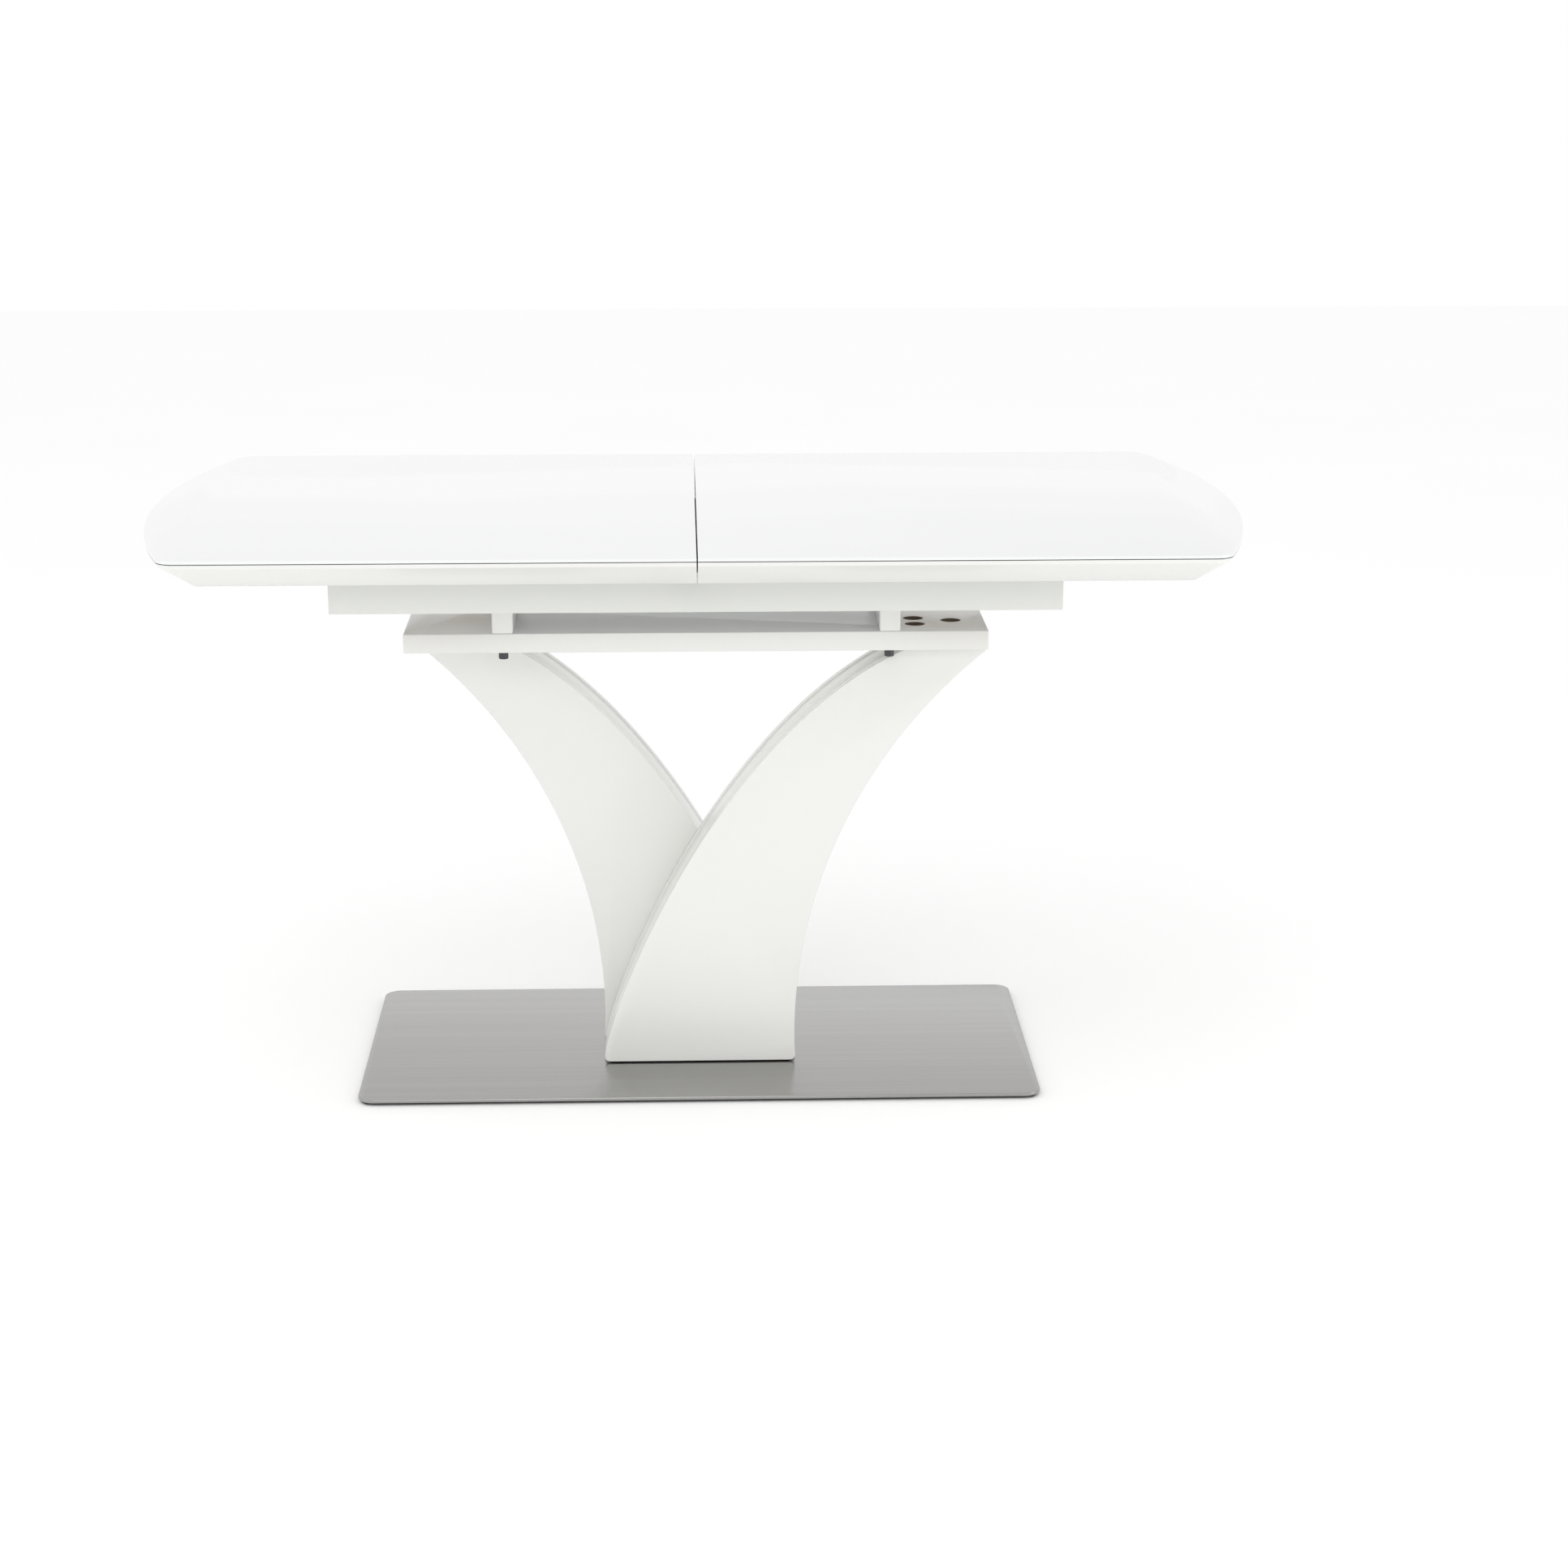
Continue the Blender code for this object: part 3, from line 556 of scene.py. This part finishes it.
BLOCK_CORNER, BLOCK_EASE = 0.003, 0.0012
BOLT, BOLT_HEAD, BOLT_SOCKET, BOLT_GAP = 0.0040, 0.00625, 0.0034, 0.0003
for end in ("left", "right"):
    block = flat_board(f"block_{end}", f"bearer_{end}", BLOCK_CORNER, BLOCK_EASE, steps=6)
    dress(block, "frame", "white_lacquer", lacquer, f"bearer_{end}")
    for side in ("front", "back"):
        node = f"frame_bolt_{end}_{side}"
        low, high = node_box(node)
        middle = (low + high) / 2
        foot, crown = low[2], BOARD_FOOT - BOLT_GAP
        bolt_profile = [
            (BOLT, high[2]),
            (BOLT, crown),
            (BOLT_HEAD - 0.00025, crown),
            (BOLT_HEAD, crown - 0.0004),
            (BOLT_HEAD, foot + 0.0008),
            (BOLT_HEAD - 0.00065, foot),
            (BOLT_SOCKET + 0.0003, foot),
            (BOLT_SOCKET, foot + 0.0005),
            (BOLT_SOCKET, foot + 0.0050),
        ]
        bolt = turned(f"bolt_{end}_{side}", bolt_profile, (middle[0], middle[1], 0.0), hexed=3)
        dress(bolt, "frame", "dark_steel", black_oxide, node)

# Frame. Lacquered rails: two long ones on the outside, whose white is darker as painted shade from the top's
# overhang, and two end ones and two cross ones let in between them. A thin panel closes it below, between the
# cross rails.

RAIL_CORNER, RAIL_EASE = 0.0015, 0.0012
# Painted shade: the long rails get a darker copy of the white lacquer, for the shade the top's overhang casts
# on them.
shaded_rail_finish, shaded_rail_shader, place = new_finish("rail_lacquer_painted_shade")
feed(shaded_rail_shader, **sprayed(place, (0.715, 0.722, 0.692), (0.690, 0.700, 0.665), matt=0.28, coat=0.30))
for side in ("front", "back"):
    node = f"frame_rail_{side}"
    rail = flat_board(f"long_rail_{side}", node, RAIL_CORNER, RAIL_EASE, axis="y")
    dress(rail, "frame", "white_lacquer", shaded_rail_finish, node)
for node in ("end_rail_left", "end_rail_right", "cross_rail_left", "cross_rail_right", "frame_floor"):
    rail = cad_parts[node]
    rail.data.materials.clear()
    rail.data.materials.append(lacquer)

# Slides and runners. Each ball slide is three channels rolled from thin zinc-plated strip, one inside
# another. The outer one is on the frame, and the inner one on a hardwood runner under the top.


def channel(name, node, opening, metal=0.0012, bend=0.0028):
    """A rolled channel along X in a CAD node's box: the C-shaped middle line, with its corners replaced by
    quarter circles, and half the metal's thickness to either side of it."""
    low, high = node_box(node)
    web, tip = (low[1], high[1]) if opening > 0 else (high[1], low[1])
    turn = np.linspace(0, pi / 2, 6)
    arc = np.column_stack((1 - np.sin(turn), 1 - np.cos(turn)))
    paths = []
    for offset in (0.0, metal):
        radius = bend - offset
        lip = low[2] + offset + radius * arc[:, 1]
        side = web + opening * (offset + radius * arc[:, 0])
        paths.append(np.vstack(((tip, low[2] + offset), np.column_stack((side, lip)))))
    lower = np.vstack((paths[0], paths[1][::-1]))
    upper = lower * (1, -1) + (0, low[2] + high[2])
    half = len(paths[0])
    outline = np.vstack((paths[0], upper[:half][::-1], upper[half:][::-1], paths[1][::-1]))
    rings = np.array([np.column_stack((np.full(len(outline), x), outline)) for x in (low[0], high[0])])
    return mesh_piece(name, rings)


RUNNER_CORNER, RUNNER_EASE = 0.002, 0.001
for end in ("left", "right"):
    for side, outward in (("front", -1), ("back", 1)):
        for kind, body, opening in (
            ("outer", "frame", -outward),
            ("middle", f"{end}_mid", -outward),
            ("inner", f"{end}_top", outward),
        ):
            node = f"slide_{kind}_{end}_{side}"
            dress(channel(f"{kind}_channel_{end}_{side}", node, opening), body, "slide_steel", zinc, node)
        node = f"runner_{end}_{side}"
        runner = flat_board(f"hardwood_{end}_{side}", node, RUNNER_CORNER, RUNNER_EASE, axis="x")
        dress(runner, f"{end}_top", "beech", beech, node)

# Countersunk screws. Each runner hangs on three, driven up into the top board, and the legs are held down by
# four more through the underlay.

CONE, CONE_TOP, LIFT, RECESS, RECESS_DEEP = 0.0042, 0.0030, 0.0004, 0.0019, 0.0018


def countersunk(name, spot, body):
    """A countersunk screw head that looks down, its flat face LIFT proud of the surface at a spot, with a
    hexagonal recess."""
    profile = [
        (0.0020, CONE_TOP),
        (CONE, 0.0),
        (CONE, -LIFT / 2),
        (CONE * 0.92, -LIFT),
        (RECESS + 0.0002, -LIFT),
        (RECESS, -LIFT / 2),
        (RECESS, RECESS_DEEP),
    ]
    dress(turned(name, profile, spot, hexed=3, around=24), body, "fastener_steel", zinc)


for end in ("left", "right"):
    for side in ("front", "back"):
        low, high = node_box(f"runner_{end}_{side}")
        for number, share in enumerate((0.12, 0.5, 0.88), 1):
            spot = (low[0] + share * (high[0] - low[0]), (low[1] + high[1]) / 2, low[2])
            countersunk(f"runner_screw_{end}_{side}_{number}", spot, f"{end}_top")
BASE_SCREW_X, BASE_SCREW_Y = 0.07, 0.046
underlay_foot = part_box("base_underlay")[0][2]
for number, (x, y) in enumerate(((-1, -1), (1, -1), (-1, 1), (1, 1)), 1):
    countersunk(f"base_screw_{number}", (x * BASE_SCREW_X, y * BASE_SCREW_Y, underlay_foot), "frame")

# Folding leaf. Two wings of white-faced board, folded face to face on the frame's floor, with a long hinge
# along one edge.

melamine, melamine_shader, place = new_finish("leaf_white")
orange = place.noise(420.0, detail=2.0)
feed(
    melamine_shader,
    Base_Color=place.noise(6.0).blend((0.80, 0.80, 0.77), (0.84, 0.84, 0.82)),
    Roughness=0.30 + 0.12 * orange,
    Normal=place.bump(orange, 0.00008),
)
WING_CORNER, WING_EASE = 0.003, 0.0010
for layer in ("lower", "upper"):
    node = f"leaf_wing_{layer}"
    dress(flat_board(f"wing_{layer}", node, WING_CORNER, WING_EASE), "frame", "leaf_white", melamine, node)
hinge_low, hinge_high = node_box("leaf_hinge")
hinge_middle = (hinge_low + hinge_high) / 2
KNUCKLES, KNUCKLE, GROOVE, END_GAP = 18, 0.0025, 0.0008, 0.0005
step = (hinge_high[0] - hinge_low[0] - 2 * END_GAP) / KNUCKLES
starts = hinge_low[0] + END_GAP + step * np.arange(KNUCKLES)[:, None]
knuckle_x = starts + (GROOVE / 2, GROOVE, step - GROOVE, step - GROOVE / 2)
knuckle_r = np.tile((KNUCKLE - GROOVE, KNUCKLE, KNUCKLE, KNUCKLE - GROOVE), KNUCKLES)
barrel_profile = np.column_stack((knuckle_r, knuckle_x.ravel()))
barrel_place = (0.0, hinge_high[1] - KNUCKLE, hinge_middle[2])
barrel = turned("hinge_barrel", barrel_profile, barrel_place, axis="x", around=20)
dress(barrel, "frame", "fastener_steel", zinc, "leaf_hinge")
STRAP_THICK, STRAP_EASE, STRAP_CORNER, STRAP_GAP = 0.0014, 0.0003, 0.001, 0.0008
straps = (hinge_low[2], hinge_middle[2] - STRAP_GAP), (hinge_middle[2] + STRAP_GAP, hinge_high[2])
for number, (foot, crown) in enumerate(straps):
    outline = rounded_box((hinge_low[0], foot), (hinge_high[0], crown), STRAP_CORNER)
    strap_rings = carry(outline, eased(STRAP_THICK, STRAP_EASE), hinge_low[1], "y")
    dress(mesh_piece(f"hinge_strap_{number}", strap_rings), "frame", "fastener_steel", zinc)

# Latches. Under each long edge a flat hook on one half turns about its rivet and closes round a stud on the
# other half. Here the hooks stand open, along the seam. Both sit on small rectangular plates.

LATCH_Y, PIVOT_X, REACH = 0.3125, 0.012, 0.030
HOOK_BACK, HOOK_HALF, HOOK_TIP, MOUTH, LATCH_EASE = 0.0085, 0.0065, 0.039, 0.0042, 0.0004
LATCH_PLATE, PLATE_ROUND, RIVET_HEAD = 0.002, 0.003, 0.001
heel_turn = pi / 2 + pi * np.arange(17) / 16
mouth_turn = pi * np.arange(13) / 12
hook_outline = np.vstack(
    (
        HOOK_BACK * np.column_stack((np.cos(heel_turn), np.sin(heel_turn))),
        (REACH - MOUTH, -HOOK_HALF),
        np.column_stack((REACH - MOUTH * np.cos(mouth_turn), MOUTH * np.sin(mouth_turn))),
        (REACH + MOUTH, -HOOK_HALF),
        (HOOK_TIP, -HOOK_HALF / 2),
        (HOOK_TIP, HOOK_BACK),
    )
)
for side, sign, own, other in (("back", 1, "right", "left"), ("front", -1, "left", "right")):
    hook_low, hook_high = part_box(f"latch_hook_{side}")
    open_outline = np.column_stack((hook_outline[:, 1], -hook_outline[:, 0])) + (PIVOT_X, LATCH_Y)
    edge = eased(hook_high[2] - hook_low[2], LATCH_EASE)
    hook = mesh_piece(f"hook_{side}", carry(open_outline, edge, hook_low[2]) * (sign, sign, 1))
    dress(hook, f"{side}_hook", "fastener_steel", zinc, f"latch_hook_{side}")
    for kind, half, radius, head in (("pivot", own, 0.0025, 0.0045), ("stud", other, 0.0030, 0.0030)):
        node = f"latch_{kind}_{side}"
        low, high = node_box(node)
        middle = (low + high) / 2
        plate_foot = high[2] - LATCH_PLATE
        outline = rounded_box(low[:2], high[:2], PLATE_ROUND)
        plate = mesh_piece(f"{kind}_plate_{side}", carry(outline, eased(LATCH_PLATE, LATCH_EASE), plate_foot))
        dress(plate, f"{half}_top", "fastener_steel", zinc, node)
        pin_profile = [
            (radius, plate_foot + 0.0005),
            (radius, low[2] + RIVET_HEAD),
            (head, low[2] + RIVET_HEAD),
            (head, low[2] + LATCH_EASE),
            (head * 0.8, low[2]),
        ]
        pin = turned(f"{kind}_pin_{side}", pin_profile, (middle[0], middle[1], 0.0))
        dress(pin, f"{half}_top", "fastener_steel", zinc)

# Top. Each half is a board with a steep edge of a few millimetres, undercut by a wide bevel, and a sheet of
# white-backed glass bonded on it. A dark line is painted along the top of the board's edge, right under the
# glass: painted shadow of the joint between the two.

END_RADIUS, TOP_CORNER, SEAM = 1.290, 0.025, 0.0016
BEVEL_CORNER, BEVEL_WIDE, EDGE_BAND, EDGE_LEAN = 0.004, 0.048, 0.006, 0.0035
top_low, top_high = node_box("top_board_right")
glass_low, glass_high = node_box("glass_right")
HALF_LONG, HALF_WIDE = glass_high[0], glass_high[1]


def top_outline(amount, corner, corner_steps=12, end_steps=64):
    """The right half's outline, set in from the edge: a straight long edge, a corner arc, the shallow end
    arc, a corner arc and the other long edge. The corner arc touches both the long edge and the end arc, so
    its centre lies a corner's radius inside each."""
    half = HALF_WIDE - amount
    radius = END_RADIUS - amount
    middle = HALF_LONG - END_RADIUS
    corner_x = middle + np.sqrt((radius - corner) ** 2 - (half - corner) ** 2)
    turn = np.arctan2(half - corner, corner_x - middle)
    around = np.linspace(-pi / 2, -turn, corner_steps + 1)[:-1]
    lower = np.column_stack((corner_x + corner * np.cos(around), corner - half + corner * np.sin(around)))
    bow = np.linspace(-turn, turn, end_steps + 1)
    end = np.column_stack((middle + radius * np.cos(bow), radius * np.sin(bow)))
    return np.vstack(((SEAM / 2, -half), lower, end, lower[::-1] * (1, -1), (SEAM / 2, half)))


# Inset and height of each ring of the board, from its flat underside up, with its two arrises eased.
band_foot = top_high[2] - EDGE_BAND
board_edge = np.array(
    [
        (BEVEL_WIDE + 0.0010, top_low[2]),
        (BEVEL_WIDE - 0.0005, top_low[2] + 0.0004),
        (EDGE_LEAN + 0.0012, band_foot - 0.0008),
        (EDGE_LEAN, band_foot),
        (EDGE_LEAN - 0.0008, band_foot + 0.0012),
        (0.0003, top_high[2] - 0.0010),
        (0.0004, top_high[2] - 0.0002),
        (0.0009, top_high[2]),
    ]
)
board_rings = []
for amount, height in board_edge:
    corner = TOP_CORNER + (BEVEL_CORNER - TOP_CORNER) * amount / board_edge[0, 0]
    outline = top_outline(amount, corner)
    board_rings.append(np.column_stack((outline, np.full(len(outline), height))))
GLASS_EASE = 0.0006
glass_edge = eased(glass_high[2] - glass_low[2], GLASS_EASE)
glass_rings = carry(top_outline(0.0, TOP_CORNER), glass_edge, glass_low[2])

SHADOW_LINE_DEEP, SHADOW_LINE_BLACK = 0.0007, (0.09, 0.09, 0.09)
top_lacquer, top_shader, place = new_finish("top_lacquer")
coat = sprayed(place)
# Painted shadow: the top of the board's edge, just under the glass, is coloured near black for the shade in
# the joint.
coat["Base_Color"] = place.axes()[2].above(float(top_high[2]) - SHADOW_LINE_DEEP).blend(coat["Base_Color"], SHADOW_LINE_BLACK)
feed(top_shader, **coat)
# The glass's sides take a lighter white than its top face, with the edge's own faint green: the extra
# lightness is a painted highlight of the bright strip along the glass edge.
GLASS_FACE, GLASS_RIM_HIGHLIGHT = 0.0004, (0.77, 0.785, 0.780)
glass, glass_shader, place = new_finish("white_glass")
face = place.axes()[2].above(float(glass_high[2]) - GLASS_FACE)
haze = place.noise(2.5, detail=2.0)
feed(
    glass_shader,
    Base_Color=face.blend(GLASS_RIM_HIGHLIGHT, haze.blend((0.700, 0.703, 0.703), (0.715, 0.718, 0.718))),
    Roughness=0.05 + 0.04 * haze,
    Coat_Weight=1.0,
    Coat_Roughness=0.02,
)
for end, sign in (("left", -1), ("right", 1)):
    board = mesh_piece(f"table_board_{end}", np.array(board_rings) * (sign, sign, 1), 20.0)
    dress(board, f"{end}_top", "white_lacquer", top_lacquer, f"top_board_{end}")
    sheet = mesh_piece(f"glass_sheet_{end}", glass_rings * (sign, sign, 1), 20.0)
    dress(sheet, f"{end}_top", "white_glass", glass, f"glass_{end}")
